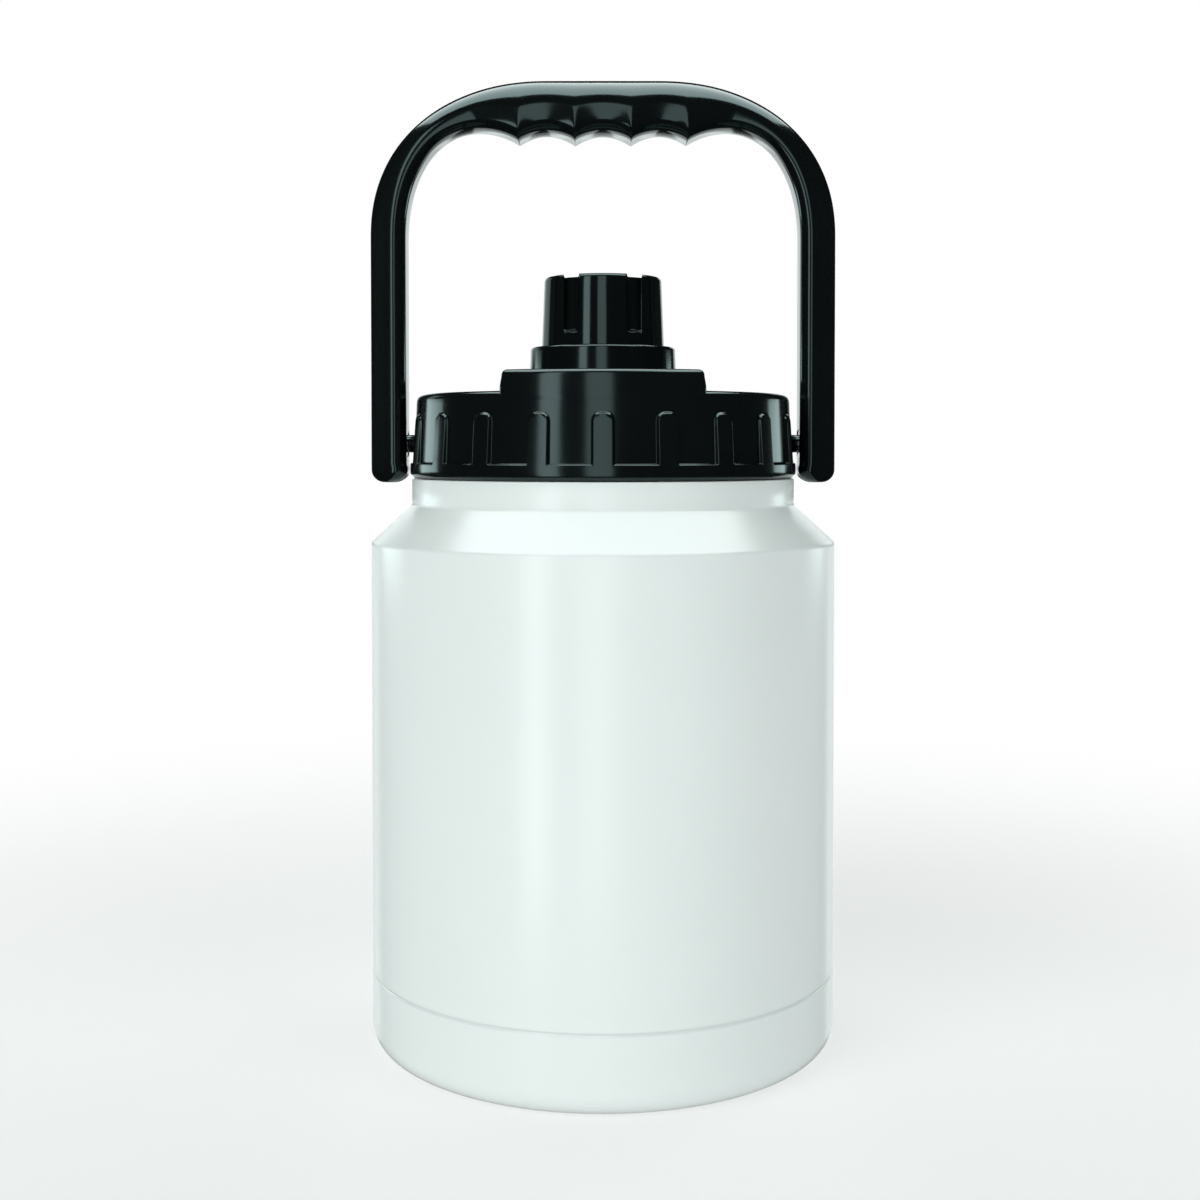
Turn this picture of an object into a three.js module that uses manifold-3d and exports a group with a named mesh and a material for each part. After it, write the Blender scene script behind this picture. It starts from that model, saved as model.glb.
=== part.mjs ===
// A shut, insulated steel jug of about one gallon: white coated body, black screw lid with grip
// ribs and a raised bar, a drinking cap on a collar, and a carrying handle that swings over the lid.
// Millimetres, +Z up, the jug stands on z = 0 about the Z axis. The front faces -Y, and the handle
// swings about the X axis.
import * as THREE from 'three';
import { mergeVertices } from 'three/addons/utils/BufferGeometryUtils.js';
import Module from 'manifold-3d';

const wasm = await Module();
wasm.setup();

// gap kept between two pieces that touch
const seatGap = 0.3;

// body
const bodyRadius = 82.5;
const bodySegments = 72;
const baseFillet = 8.3;
const baseRecessRadius = 58;
const baseRecessDepth = 2;
const seamHeight = 27.4;
const seamHalfWidth = 0.55;
const seamDepth = 0.45;
const shoulderLowHeight = 178;
const shoulderTopHeight = 191.3;
const shoulderRounding = 2;
const neckRadius = 68.2;
const neckTopHeight = 200.6;

// lid
const lidBottom = neckTopHeight + seatGap;
const lidSegments = 80;
const flangeRadius = 68.8;
const flangeFootRadius = 67.8;
const flangeBevelHeight = 1.4;
const flangeTop = 206.2;
const flangeRounding = 0.6;
const wallFootRadius = 67.4;
const wallTopRadius = 66.4;
const lidTop = 230.2;
const rimRounding = 2.2;

// grip ribs round the lid: one at the front, none at the two pivots. Their faces lie just inside
// the flange's, and their roots are sunk in the wall
const ribPlaces = 20;
const ribFoot = 203.5;
const ribTop = 222.2;
const ribFlatHalfWidth = 2.75;
const ribSlopeWidth = 1.4;
const ribRise = 1.15;
const ribCornerRadius = 1.9;
const ribRoot = 3.2;
const ribSetBack = 0.12;

// raised bar across the lid, front to back
const barTop = 237.1;
const barHalfWidthTop = 33.1;
const barHalfWidthFoot = 33.7;
const barRounding = 1.9;
const barFootFillet = 1.4;
const barFootSink = 0.06;
const barInset = 0.02;
const barRoot = 6;

// collar and cap
const collarFootRadius = 26.3;
const collarTopRadius = 26;
const collarTop = 247.2;
const collarRounding = 1.1;
const capFoot = collarTop + seatGap;
const capFootRadius = 22;
const capFootChamfer = 0.4;
const capTopRadius = 21;
const capTop = 272.1;
const capRounding = 1.5;
const capDishRadius = 19.45;
const capDishFloorRadius = 19.15;
const capDishDepth = 1.3;
const capSegments = 60;

// finger flutes of the cap: a ramp down from the wall on the inner side, a straight wall along Y on
// the outer side, and a short slope at the foot. Angles are in degrees from the Y axis
const fluteFoot = 251.4;
const fluteFootRise = 1.6;
const fluteDepthFoot = 1.3;
const fluteDepthTop = 2.05;
const fluteRampStart = 20.5;
const fluteRampEnd = 27.5;
const fluteFloorMiddle = 34;
const fluteWallX = 13.7;
const fluteWallRounding = 0.6;
const cutMargin = 3;

// pivots: stub pins on the lid, each in a blind bore of a handle leg
const pivotHeight = 212.9;
const pinRadius = 3.15;
const pinRoot = 63;
const pinEnd = 75.2;
const boreRadius = 3.4;
const boreEnd = 75.9;
const pinSegments = 20;

// handle, seen from the front: straight legs, each with a small toe at its end, then superelliptic
// bends into the grip
const legOuterX = 82.8;
const legInnerX = 70.1;
const toeInnerX = 69.7;
const toeTopHeight = 204;
const toeStep = 2;
const legEndHeight = 199.1;
const legEndRounding = 4.6;
const bendPower = 2.17;
const outerBendHeight = 286.2;
const outerBendX = 20;
const gripTop = 342.2;
const innerBendHeight = 285;
const archX = 44;
const archTop = 324.4;
const fingerPitch = 20;
const fingerCrest = 323.5;
const fingerCusp = 320.3;
const lastCuspX = 1.5 * fingerPitch;
const bendSteps = 9;
const outerEndShare = 0.72; // how far round the outer bend its stations go, while the inner one ends

// handle section: half depths, then the corner at the inner face, the slanted flank and the outer
// edge of a leg, and the lower corner of the grip, whose depth falls off from the middle like a barrel
const legHalfDepth = 8.5;
const legCorner = 4.2;
const legFlankDegrees = 17;
const legEdgeRounding = 1.2;
const gripHalfDepth = 12.5;
const gripBarrelRadius = 405;
const gripCornerShare = 0.38;
const gripCornerDepth = 8.5;
const gripCornerPower = 3.2;

const coat = new THREE.MeshStandardMaterial({ color: 0xe6eae8, roughness: 0.35, metalness: 0.0 });
const lidPlastic = new THREE.MeshStandardMaterial({ color: 0x0e1212, roughness: 0.22, metalness: 0.0 });
const handlePlastic = new THREE.MeshStandardMaterial({ color: 0x0f1313, roughness: 0.25, metalness: 0.0 });

const rad = THREE.MathUtils.degToRad;
const { lerp } = THREE.MathUtils;
const v2 = (x, y) => new THREE.Vector2(x, y);

// a closed solid from any closed geometry, with shared corners and no empty triangles
function solidOf(geometry) {
  const bare = geometry.clone();
  bare.deleteAttribute('normal');
  bare.deleteAttribute('uv');
  const merged = mergeVertices(bare, 1e-4);
  const index = merged.index.array;
  const kept = [];
  for (let i = 0; i < index.length; i += 3) {
    const [a, b, c] = [index[i], index[i + 1], index[i + 2]];
    if (a !== b && b !== c && c !== a) {
      kept.push(a, b, c);
    }
  }
  const vertProperties = new Float32Array(merged.attributes.position.array);
  return new wasm.Manifold(new wasm.Mesh({
    numProp: 3,
    vertProperties,
    triVerts: new Uint32Array(kept),
  }));
}

function meshOf(name, solid, material) {
  const out = solid.getMesh();
  const geometry = new THREE.BufferGeometry();
  geometry.setAttribute('position', new THREE.BufferAttribute(new Float32Array(out.vertProperties), 3));
  geometry.setIndex(new THREE.BufferAttribute(new Uint32Array(out.triVerts), 1));
  const mesh = new THREE.Mesh(geometry, material);
  mesh.name = name;
  return mesh;
}

// points of an arc about (cx, cy), from one angle to the other in degrees
function arc(cx, cy, radius, from, to, steps) {
  const points = [];
  for (let i = 0; i <= steps; i += 1) {
    const a = rad(from + ((to - from) * i) / steps);
    points.push(v2(cx + radius * Math.cos(a), cy + radius * Math.sin(a)));
  }
  return points;
}

// the profile turned about the Z axis
function turned(profile, segments) {
  return solidOf(new THREE.LatheGeometry(profile, segments).rotateX(Math.PI / 2));
}

// rings of points joined one to the next, with both ends closed
function loft(rings) {
  const count = rings[0].length;
  const positions = [];
  const index = [];
  for (const ring of rings) {
    for (const p of ring) {
      positions.push(p.x, p.y, p.z);
    }
  }
  for (let r = 0; r + 1 < rings.length; r += 1) {
    for (let i = 0; i < count; i += 1) {
      const j = (i + 1) % count;
      const a = r * count + i;
      const b = r * count + j;
      index.push(a, b, b + count, a, b + count, a + count);
    }
  }
  const last = (rings.length - 1) * count;
  for (let i = 1; i + 1 < count; i += 1) {
    index.push(0, i + 1, i);
    index.push(last, last + i, last + i + 1);
  }
  const geometry = new THREE.BufferGeometry();
  geometry.setAttribute('position', new THREE.Float32BufferAttribute(positions, 3));
  geometry.setIndex(index);
  return geometry;
}

function makeBody() {
  const profile = [
    v2(0, baseRecessDepth),
    v2(baseRecessRadius - baseRecessDepth, baseRecessDepth),
    v2(baseRecessRadius, 0),
    ...arc(bodyRadius - baseFillet, baseFillet, baseFillet, -90, 0, 6),
    v2(bodyRadius, seamHeight - seamHalfWidth),
    v2(bodyRadius - seamDepth, seamHeight),
    v2(bodyRadius, seamHeight + seamHalfWidth),
  ];
  // the shoulder slopes in from the wall to the neck, with a rounded edge at the wall
  const slope = Math.atan2(shoulderTopHeight - shoulderLowHeight, bodyRadius - neckRadius);
  const turn = Math.PI / 2 - slope;
  const edgeHeight = shoulderLowHeight - shoulderRounding * Math.tan(turn / 2);
  const edgeX = bodyRadius - shoulderRounding;
  profile.push(...arc(edgeX, edgeHeight, shoulderRounding, 0, THREE.MathUtils.radToDeg(turn), 2));
  profile.push(v2(neckRadius, shoulderTopHeight));
  profile.push(v2(neckRadius, neckTopHeight));
  profile.push(v2(0, neckTopHeight));
  return turned(profile, bodySegments);
}

// radius of the lid's wall, which leans in a little towards the top
function wallRadius(height) {
  const share = (height - flangeTop) / (lidTop - flangeTop);
  return wallFootRadius + (wallTopRadius - wallFootRadius) * share;
}

// the lid's round form up to a given top, with the wall set in by a given amount
function lidRound(top, rounding, inset) {
  const wallEnd = top - rounding;
  const rim = wallRadius(wallEnd) - inset;
  return [
    v2(0, lidBottom),
    v2(flangeFootRadius - inset, lidBottom),
    v2(flangeRadius - inset, lidBottom + flangeBevelHeight),
    v2(flangeRadius - inset, flangeTop - flangeRounding),
    v2(flangeRadius - flangeRounding - inset, flangeTop),
    v2(wallRadius(flangeTop) - inset, flangeTop),
    ...arc(rim - rounding, wallEnd, rounding, 0, 90, 4),
    v2(0, top),
  ];
}

// one grip rib, standing on the wall at the front and then turned into place
function makeRib(angle) {
  const w = ribFlatHalfWidth;
  const r = ribCornerRadius;
  const outline = new THREE.Shape([
    v2(-w, ribFoot),
    v2(w, ribFoot),
    ...arc(w - r, ribTop - r, r, 0, 90, 3),
    ...arc(-w + r, ribTop - r, r, 90, 180, 3),
  ]);
  const geometry = new THREE.ExtrudeGeometry(outline, {
    depth: ribRoot,
    bevelEnabled: true,
    bevelThickness: ribRise,
    bevelSize: ribSlopeWidth,
    bevelSegments: 2,
  });
  // the extrusion runs outwards, along -Y, and leans with the wall about the flange's top
  geometry.translate(0, -flangeTop, 0);
  geometry.rotateX(Math.PI / 2);
  const lean = Math.atan2(wallFootRadius - wallTopRadius, lidTop - flangeTop);
  geometry.rotateX(-lean);
  geometry.translate(0, -(flangeRadius - ribSetBack - ribRise - ribRoot), flangeTop);
  geometry.rotateZ(angle);
  return solidOf(geometry);
}

// the bar is the lid's round form raised, kept only between two flanks along Y
function makeBar() {
  const top = barHalfWidthTop;
  const foot = barHalfWidthFoot;
  const filletTop = lidTop - barFootSink + barFootFillet;
  const half = [
    ...arc(foot + barFootFillet, filletTop, barFootFillet, 270, 180, 3),
    ...arc(top - barRounding, barTop - barRounding, barRounding, 0, 90, 3),
  ];
  const right = [v2(foot + barFootFillet, lidTop - barRoot), ...half];
  const left = right.map((p) => v2(-p.x, p.y)).reverse();
  const shape = new THREE.Shape([...right, ...left]);
  const length = 2 * (flangeRadius + cutMargin);
  const block = new THREE.ExtrudeGeometry(shape, { depth: length, bevelEnabled: false });
  block.translate(0, 0, -length / 2);
  block.rotateX(Math.PI / 2);
  const raised = turned(lidRound(barTop + barInset, barRounding, barInset), lidSegments);
  return solidOf(block).intersect(raised);
}

function makePin(side) {
  const geometry = new THREE.CylinderGeometry(pinRadius, pinRadius, pinEnd - pinRoot, pinSegments);
  geometry.rotateZ(Math.PI / 2);
  geometry.translate((side * (pinRoot + pinEnd)) / 2, 0, pivotHeight);
  return solidOf(geometry);
}

function makeLid() {
  let lid = turned(lidRound(lidTop, rimRounding, 0), lidSegments);
  for (let i = 0; i < ribPlaces; i += 1) {
    const atPivot = i % (ribPlaces / 2) === ribPlaces / 4;
    if (!atPivot) {
      lid = lid.add(makeRib((2 * Math.PI * i) / ribPlaces));
    }
  }
  lid = lid.add(makeBar());
  return lid.add(makePin(1)).add(makePin(-1));
}

function makeCollar() {
  const foot = barTop + seatGap;
  const profile = [
    v2(0, foot),
    v2(collarFootRadius, foot),
    ...arc(collarTopRadius - collarRounding, collarTop - collarRounding, collarRounding, 0, 90, 3),
    v2(0, collarTop),
  ];
  return turned(profile, capSegments);
}

function capRadius(height) {
  return capFootRadius + ((capTopRadius - capFootRadius) * (height - capFoot)) / (capTop - capFoot);
}

// outline of a flute's cutter at one height, in the quarter where x and y are both positive
function fluteRing(height, depth) {
  const radius = capRadius(height);
  const floor = radius - depth;
  const outside = radius + cutMargin;
  const polar = (r, degrees) => v2(r * Math.sin(rad(degrees)), r * Math.cos(rad(degrees)));
  const onFloor = (x) => v2(x, Math.sqrt(floor ** 2 - x ** 2));
  const outline = [
    polar(outside, fluteRampStart),
    polar(radius, fluteRampStart),
    polar(floor, fluteRampEnd),
    polar(floor, fluteFloorMiddle),
    onFloor(fluteWallX - fluteWallRounding),
    v2(fluteWallX, onFloor(fluteWallX).y + fluteWallRounding / 2),
    v2(fluteWallX, outside),
  ];
  return outline.map((p) => new THREE.Vector3(p.x, p.y, height));
}

function makeFlute(sideX, sideY) {
  const below = fluteFootRise / 8;
  const rings = [
    fluteRing(fluteFoot - below, -fluteDepthFoot / 8),
    fluteRing(fluteFoot + fluteFootRise, fluteDepthFoot),
    fluteRing(capTop + cutMargin, fluteDepthTop),
  ];
  // a mirrored cutter is lofted from the top down, so that its faces still point out
  const geometry = loft(sideX * sideY > 0 ? rings : rings.reverse());
  geometry.scale(sideX, sideY, 1);
  return solidOf(geometry);
}

function makeCap() {
  const profile = [
    v2(0, capFoot),
    v2(capFootRadius - capFootChamfer, capFoot),
    v2(capFootRadius, capFoot + capFootChamfer),
    ...arc(capTopRadius - capRounding, capTop - capRounding, capRounding, 0, 90, 4),
    v2(capDishRadius, capTop),
    v2(capDishFloorRadius, capTop - capDishDepth),
    v2(0, capTop - capDishDepth),
  ];
  let cap = turned(profile, capSegments);
  for (const sideX of [-1, 1]) {
    for (const sideY of [-1, 1]) {
      cap = cap.subtract(makeFlute(sideX, sideY));
    }
  }
  return cap;
}

// The handle's half sections run from the inner face round to the outer one: x is the distance out
// from the inner face and y the depth. Both have the same number of points, so they blend.

// a leg's: an elliptic corner, a flank that slants back, and a small rounding at the outer face
function legSection(thickness, halfDepth) {
  const cornerDepth = Math.min(legCorner, halfDepth * 0.95);
  const flank = thickness - legCorner;
  const edgeDepth = Math.max(halfDepth - flank * Math.tan(rad(legFlankDegrees)), halfDepth / 2);
  const r = Math.min(legEdgeRounding, edgeDepth / 2);
  const corner = arc(0, 0, 1, 180, 90, 4);
  const flankPoint = (share) => v2(legCorner + flank * share, lerp(halfDepth, edgeDepth, share));
  return [
    ...corner.map((p) => v2(legCorner * (1 + p.x), halfDepth - cornerDepth * (1 - p.y))),
    flankPoint(0.3),
    flankPoint(0.6),
    flankPoint(1 - r / flank),
    v2(thickness - r * 0.3, edgeDepth - r * 0.3),
    v2(thickness, edgeDepth - r),
  ];
}

// the grip's: a front that runs nearly straight down into a round lower corner, and an elliptic dome
// above
function gripSection(thickness, halfDepth) {
  const low = thickness * gripCornerShare;
  const fuller = (share) => Math.abs(share) ** (2 / gripCornerPower);
  const corner = arc(0, 0, 1, 180, 90, 4);
  const dome = arc(0, 0, 1, 75, 15, 4);
  return [
    ...corner.map((p) => v2(low * (1 - fuller(p.x)), halfDepth - gripCornerDepth * (1 - fuller(p.y)))),
    ...dome.map((p) => v2(low + (thickness - low) * p.x, halfDepth * p.y)),
  ];
}

// one ring of the handle at a station: an inner and an outer point of the front view, the half
// depth, and how far the section has changed from a leg's (0) to the grip's (1)
function handleRing({ inner, outer, halfDepth, grip }) {
  const out = outer.clone().sub(inner);
  const thickness = out.length();
  out.normalize();
  const gripPoints = gripSection(thickness, halfDepth);
  const near = legSection(thickness, halfDepth).map((p, i) => p.lerp(gripPoints[i], grip));
  const far = near.map((p) => v2(p.x, -p.y)).reverse();
  const ring = [...near, v2(thickness, 0), ...far];
  return ring.map((p) => new THREE.Vector3(inner.x + out.x * p.x, p.y, inner.y + out.y * p.x));
}

// a point on a quarter of a superellipse, from its side (share 0) to its top (share 1)
function onBend(centreX, centreHeight, halfWidth, rise, share) {
  const a = (Math.PI / 2) * Math.min(share, 0.9999);
  return v2(
    centreX + halfWidth * Math.cos(a) ** (2 / bendPower),
    centreHeight + rise * Math.sin(a) ** (2 / bendPower),
  );
}

function outerPoint(share) {
  return onBend(outerBendX, outerBendHeight, legOuterX - outerBendX, gripTop - outerBendHeight, share);
}

function innerPoint(share) {
  return onBend(archX, innerBendHeight, legInnerX - archX, archTop - innerBendHeight, share);
}

// height of the handle's outer edge over a place along the grip
function outerHeight(x) {
  const share = Math.max(0, x - outerBendX) / (legOuterX - outerBendX);
  return outerBendHeight + (gripTop - outerBendHeight) * (1 - share ** bendPower) ** (1 / bendPower);
}

// height of the grip's underside: round finger hollows between cusps, and a wider arch at each end
function undersideHeight(x) {
  const inArch = x > lastCuspX;
  const centre = inArch ? archX : Math.round(x / fingerPitch) * fingerPitch;
  const half = inArch ? archX - lastCuspX : fingerPitch / 2;
  const crest = inArch ? archTop : fingerCrest;
  const sag = crest - fingerCusp;
  const radius = (half ** 2 + sag ** 2) / (2 * sag);
  const offset = Math.min(Math.abs(x - centre), half);
  return crest - radius + Math.sqrt(radius ** 2 - offset ** 2);
}

// half depth of the grip at a place along it
function gripDepth(x) {
  return gripHalfDepth - x ** 2 / (2 * gripBarrelRadius);
}

// stations of the leg's rounded end, where the depth and both edges close in
function legEndStations() {
  return [0, 25, 45, 67, 90].map((degrees) => {
    const inset = legEndRounding * (1 - Math.sin(rad(degrees)));
    const height = legEndHeight + legEndRounding * (1 - Math.cos(rad(degrees)));
    return {
      inner: v2(toeInnerX + inset, height),
      outer: v2(legOuterX - inset, height),
      halfDepth: legHalfDepth - inset,
      grip: 0,
    };
  });
}

function legStations() {
  const leg = { halfDepth: legHalfDepth, grip: 0 };
  const toeEnd = toeTopHeight + toeStep;
  return [
    { inner: v2(legInnerX, toeEnd), outer: v2(legOuterX, toeEnd), ...leg },
    { inner: innerPoint(0), outer: outerPoint(0), ...leg },
  ];
}

function bendStations() {
  const stations = [];
  for (let i = 1; i <= bendSteps; i += 1) {
    const share = i / bendSteps;
    const grip = THREE.MathUtils.smoothstep(share, 0, 1);
    stations.push({
      inner: innerPoint(share),
      outer: outerPoint(share * outerEndShare),
      halfDepth: lerp(legHalfDepth, gripDepth(archX), grip),
      grip,
    });
  }
  return stations;
}

// stations from the top of the end arch, along the underside, to the middle of the grip
function gripStations(outerStartX) {
  const stations = [];
  const addStation = (x, outerX) => stations.push({
    inner: v2(x, undersideHeight(x)),
    outer: v2(outerX, outerHeight(outerX)),
    halfDepth: gripDepth(x),
    grip: 1,
  });
  for (const share of [0.25, 0.5, 0.75, 1]) {
    addStation(lerp(archX, lastCuspX, share), lerp(outerStartX, lastCuspX, share));
  }
  for (const share of [0.1, 0.3, 0.5, 0.7, 0.9, 1, 1.1, 1.3, 1.5]) {
    const x = lastCuspX - share * fingerPitch;
    addStation(x, x);
  }
  return stations;
}

function makeHandle() {
  const right = [
    ...legEndStations(),
    ...legStations(),
    ...bendStations(),
    ...gripStations(outerPoint(outerEndShare).x),
  ].map(handleRing);
  const left = right.slice(0, -1).map((ring) => ring.map((p) => new THREE.Vector3(-p.x, p.y, p.z)));
  let handle = solidOf(loft([...left, ...right.reverse()]));
  const boreStart = toeInnerX - cutMargin;
  for (const side of [-1, 1]) {
    const bore = new THREE.CylinderGeometry(boreRadius, boreRadius, boreEnd - boreStart, pinSegments);
    bore.rotateZ(Math.PI / 2);
    bore.translate((side * (boreStart + boreEnd)) / 2, 0, pivotHeight);
    handle = handle.subtract(solidOf(bore));
  }
  return handle;
}

const jug = new THREE.Group();
jug.add(meshOf('body', makeBody(), coat));
jug.add(meshOf('lid', makeLid(), lidPlastic));
jug.add(meshOf('cap_collar', makeCollar(), lidPlastic));
jug.add(meshOf('cap', makeCap(), lidPlastic));
jug.add(meshOf('handle', makeHandle(), handlePlastic));

export default jug;
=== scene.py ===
import math

import bpy
import numpy as np
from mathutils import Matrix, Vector


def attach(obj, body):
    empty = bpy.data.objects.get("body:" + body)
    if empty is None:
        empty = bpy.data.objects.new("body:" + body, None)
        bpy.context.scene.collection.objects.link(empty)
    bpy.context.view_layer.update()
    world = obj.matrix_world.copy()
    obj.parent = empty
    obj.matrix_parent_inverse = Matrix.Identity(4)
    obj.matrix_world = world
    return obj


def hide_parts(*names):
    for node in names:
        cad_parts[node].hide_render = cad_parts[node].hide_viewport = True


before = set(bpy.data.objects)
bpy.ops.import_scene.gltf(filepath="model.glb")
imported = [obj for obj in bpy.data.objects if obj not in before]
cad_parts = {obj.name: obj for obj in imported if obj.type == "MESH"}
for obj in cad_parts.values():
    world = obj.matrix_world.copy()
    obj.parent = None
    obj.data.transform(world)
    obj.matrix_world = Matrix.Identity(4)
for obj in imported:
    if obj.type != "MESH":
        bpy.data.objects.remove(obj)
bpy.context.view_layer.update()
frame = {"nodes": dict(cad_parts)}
print("frame loaded:", ", ".join(frame["nodes"]))

mm = 0.001                                                   # shapes below are worked out in millimetres


# shapes shared by the pieces

def smoothStep(t):
    t = np.clip(t, 0.0, 1.0)
    return t * t * (3 - 2 * t)


def mix(a, b, share):
    return a + (b - a) * share


def arcPoints(centreX, centreZ, radius, start, stop, steps):        # angles in degrees
    angles = np.radians(np.linspace(start, stop, steps + 1))
    return [(centreX + radius * math.cos(a), centreZ + radius * math.sin(a)) for a in angles]


def fullTurn(columns):                                       # angles all the way round, in radians
    return np.linspace(0, 2 * math.pi, columns, endpoint=False)


def ringMesh(name, rings):                                   # a closed solid from rings of equal count
    rings = np.asarray(rings, dtype=float)
    rows, cols, _ = rings.shape
    mesh = bpy.data.meshes.new(name)
    faces = []
    for low in range(0, (rows - 1) * cols, cols):
        high = low + cols
        for col in range(cols):
            side = (col + 1) % cols
            faces.append((low + col, low + side, high + side, high + col))
    faces.append(tuple(range(cols - 1, -1, -1)))
    faces.append(tuple((rows - 1) * cols + col for col in range(cols)))
    mesh.from_pydata((rings.reshape(-1, 3) * mm).tolist(), [], faces)
    mesh.polygons.foreach_set("use_smooth", [True] * len(mesh.polygons))
    mesh.update()
    piece = bpy.data.objects.new(name, mesh)
    bpy.context.collection.objects.link(piece)
    return piece


def lathe(name, profile, columns):
    turn = fullTurn(columns)
    rings = [[(r * math.cos(a), r * math.sin(a), z) for a in turn] for r, z in profile]
    return ringMesh(name, rings)


def pivotRing(side, x, radius, height, columns):             # a circle about the handle's turning line
    return [(side * x, side * radius * math.cos(a), height + radius * math.sin(a)) for a in fullTurn(columns)]


def carve(piece, tool):                                      # cuts the tool out of the piece and removes it
    cut = piece.modifiers.new("cut", "BOOLEAN")
    cut.operation = "DIFFERENCE"
    cut.solver = "EXACT"
    cut.object = tool
    carved = bpy.data.meshes.new_from_object(piece.evaluated_get(bpy.context.evaluated_depsgraph_get()))
    piece.modifiers.clear()
    piece.data = carved
    bpy.data.objects.remove(tool)


def dress(piece, body, slot, material, *nodes):
    piece.data.materials.append(material)
    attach(piece, body)
    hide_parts(*nodes)


# shader maths

class Wire:                                                  # one output socket, for use in expressions
    def __init__(self, finish, socket):
        self.finish = finish
        self.socket = socket

    def maths(self, operation, first, second):
        return self.finish.node("ShaderNodeMath", {"operation": operation}, {0: first, 1: second})

    def __add__(self, other):
        return self.maths("ADD", self, other)

    def __radd__(self, other):
        return self.maths("ADD", other, self)

    def __sub__(self, other):
        return self.maths("SUBTRACT", self, other)

    def __rsub__(self, other):
        return self.maths("SUBTRACT", other, self)

    def __mul__(self, other):
        return self.maths("MULTIPLY", self, other)

    def __rmul__(self, other):
        return self.maths("MULTIPLY", other, self)


class Finish:                                                # the nodes of a material or of the world
    def __init__(self, owner):
        self.owner = owner
        self.owner.use_nodes = True
        self.tree = self.owner.node_tree
        self.tree.nodes.clear()

    def node(self, kind, settings=None, inputs=None, output=0):
        made = self.tree.nodes.new(kind)
        for key, value in (settings or {}).items():
            if key == "stops":
                self.setStops(made.color_ramp, value)
            else:
                setattr(made, key, value)
        for key, value in (inputs or {}).items():
            if isinstance(value, Wire):
                self.tree.links.new(value.socket, made.inputs[key])
            else:
                made.inputs[key].default_value = value
        return Wire(self, made.outputs[output]) if made.outputs else None

    def setStops(self, ramp, stops):
        while len(ramp.elements) < len(stops):
            ramp.elements.new(0.5)
        for element, (place, level) in zip(ramp.elements, stops):
            element.position = place
            element.color = (level, level, level, 1)

    def spot(self):                                          # a place on the object, in metres
        return self.node("ShaderNodeTexCoord", output="Object")

    def height(self, place):
        return self.node("ShaderNodeSeparateXYZ", {}, {0: place}, output="Z")

    def noise(self, place, scale, detail, roughness=0.5):
        return self.node("ShaderNodeTexNoise", {"noise_dimensions": "3D"},
                         {"Vector": place, "Scale": scale, "Detail": detail, "Roughness": roughness})

    def ramp(self, value, stops):
        return self.node("ShaderNodeValToRGB", {"stops": stops}, {"Fac": value})

    def blend(self, share, colourA, colourB):
        return self.node("ShaderNodeMix", {"data_type": "RGBA"}, {0: share, 6: colourA, 7: colourB}, output=2)

    def bump(self, height, distance, under=None):            # under is the bump that this one lies on
        inputs = {"Height": height, "Distance": distance}
        if under is not None:
            inputs["Normal"] = under
        return self.node("ShaderNodeBump", {}, inputs)

    def surface(self, inputs):
        shader = self.node("ShaderNodeBsdfPrincipled", {}, inputs)
        self.node("ShaderNodeOutputMaterial", {}, {"Surface": shader})
        return self.owner


coatLook = dict(
    colour=(0.80, 0.835, 0.825, 1),
    shade=(0.765, 0.805, 0.795, 1),                          # where the coat lies a little thinner
    cloud=dict(scale=14.0, detail=3.0),
    grain=dict(scale=900.0, detail=2.0, roughness=0.55),     # orange peel, about a millimetre across
    grainDepth=0.000012,
    scuff=dict(scale=260.0, detail=4.0, roughness=0.7),
    scuffStops=((0.62, 0.0), (0.72, 1.0)), scuffShare=0.05,
    roughness=0.19, roughnessSpread=0.05, ior=1.5,
    seam=0.0274, seamShadeReach=1.0, seamShadeShare=0.55,              # its height in metres, the reach of its painted shade in millimetres
    seamShadeStops=((0.3, 0.0), (1.0, 1.0)),
    seamShadeColour=(0.60, 0.65, 0.64, 1),                        # painted shade: the colour the coat is darkened to along the groove
)


def makeCoat(look):
    finish = Finish(bpy.data.materials.new("whiteCoat"))
    place = finish.spot()
    cloud = finish.noise(place, **look["cloud"])
    grain = finish.noise(place, **look["grain"])
    scuff = finish.ramp(finish.noise(place, **look["scuff"]), look["scuffStops"])
    # painted shade along the seam groove, darkest at its middle, standing in for the shadow that falls in it
    offset = finish.height(place) - look["seam"]
    distance = finish.node("ShaderNodeMath", {"operation": "ABSOLUTE"}, {0: offset})
    grooveShade = 1 - finish.ramp(distance * (1 / mm / look["seamShadeReach"]), look["seamShadeStops"])
    clean = finish.blend(cloud, look["colour"], look["shade"])
    return finish.surface({
        "Base Color": finish.blend(grooveShade * look["seamShadeShare"], clean, look["seamShadeColour"]),
        "Roughness": look["roughness"] + look["roughnessSpread"] * cloud + look["scuffShare"] * scuff,
        "IOR": look["ior"],
        "Normal": finish.bump(grain, look["grainDepth"]),
    })


def makePlastic(name, look):
    finish = Finish(bpy.data.materials.new(name))
    place = finish.spot()
    cloud = finish.noise(place, **look["cloud"])
    grain = finish.noise(place, **look["grain"])
    sink = finish.noise(place, **look["sink"])
    wear = finish.ramp(finish.noise(place, **look["wear"]), look["wearStops"])
    waves = finish.bump(sink, look["sinkDepth"])
    return finish.surface({
        "Base Color": finish.blend(cloud, look["colour"], look["shade"]),
        "Roughness": look["roughness"] + look["roughnessSpread"] * cloud + look["wearShare"] * wear,
        "IOR": look["ior"],
        "Specular Tint": look["tint"],
        "Normal": finish.bump(grain, look["grainDepth"], waves),
    })


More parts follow.
